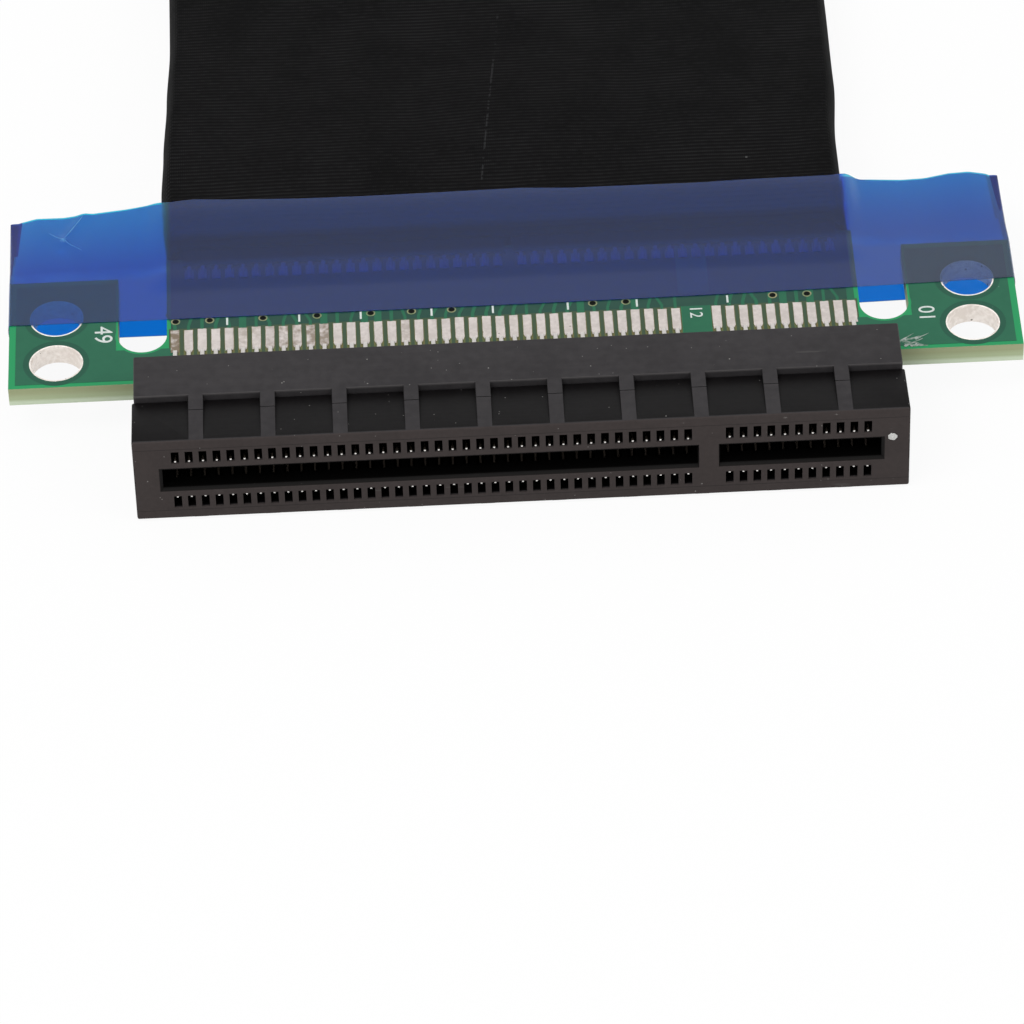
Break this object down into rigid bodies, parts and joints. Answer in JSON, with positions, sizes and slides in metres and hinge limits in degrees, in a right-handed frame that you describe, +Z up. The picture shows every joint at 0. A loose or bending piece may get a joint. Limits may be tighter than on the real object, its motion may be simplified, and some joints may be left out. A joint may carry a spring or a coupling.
{
  "type": "gpu riser cable",
  "caption": "Flat riser cable: a black card slot on a small green board, a wide flat fabric-sleeved cable held with blue film tape, and a keyed edge card at the far end.",
  "frame": {"origin": "under the middle of the near end (slot, board and their tape) on the surface that the cable lies on", "axes": "+X along the card slot, towards its short bank of contacts; +Y from the slot's mouth towards the cable; +Z up"},
  "size_m": [0.075, 0.3634, 0.0075],
  "materials": {
    "slot_plastic": "dark grey-black moulded plastic with fine lengthwise brushing",
    "green_board": "green solder mask over a woven laminate with pale edges",
    "blue_film": "thin glossy translucent blue film",
    "black_fabric": "black fine ribbed fabric",
    "ribbon_foil": "dull foil over flat signal ribbons"
  },
  "bodies": {
    "root": {"slot_housing": "slot_plastic", "slot_board": "green_board", "near_tape_wrap": "blue_film", "cable_sleeve": "black_fabric", "upper_ribbon_left": "ribbon_foil", "upper_ribbon_right": "ribbon_foil", "lower_ribbon_left": "ribbon_foil", "lower_ribbon_right": "ribbon_foil", "edge_card": "green_board", "far_tape_wrap": "blue_film"}
  },
  "joints": []
}
